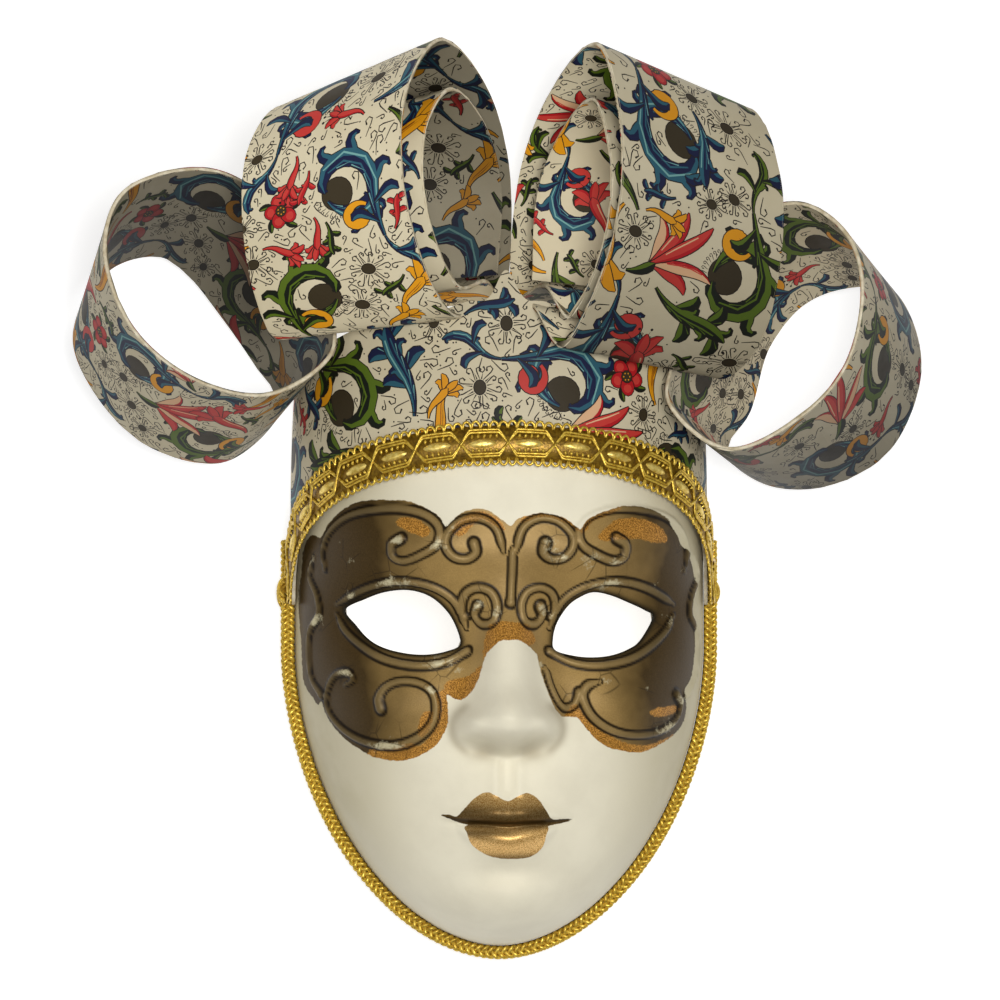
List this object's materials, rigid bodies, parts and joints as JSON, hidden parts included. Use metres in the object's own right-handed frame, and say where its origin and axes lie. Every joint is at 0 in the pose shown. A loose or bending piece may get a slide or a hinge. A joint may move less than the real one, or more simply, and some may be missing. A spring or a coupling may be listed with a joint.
{
  "type": "ceramic jester mask",
  "caption": "White full-face carnival mask with bronze scrollwork round the eyes, a cap and loops of scroll-printed paper strip, and gold gimp braid at brow and rim.",
  "frame": {"origin": "middle of the underside of the whole part's box, on the plane that the mask's back rim lies on", "axes": "+Z out of the face, +Y from chin to headdress, +X to the viewer's right"},
  "size_m": [0.2984, 0.3222, 0.1006],
  "materials": {
    "face_skin": "satin white, bronze and gold paint on cast relief",
    "printed_paper": "semi-matt printed paper on thin card",
    "gold_gimp": "bright metallic gimp braid"
  },
  "bodies": {
    "root": {"face_shell": "face_skin", "cap": "printed_paper", "loop_upper_left": "printed_paper", "loop_upper_right": "printed_paper", "loop_lower_left": "printed_paper", "loop_lower_right": "printed_paper", "braid_forehead": "gold_gimp", "braid_rim": "gold_gimp"}
  },
  "joints": []
}
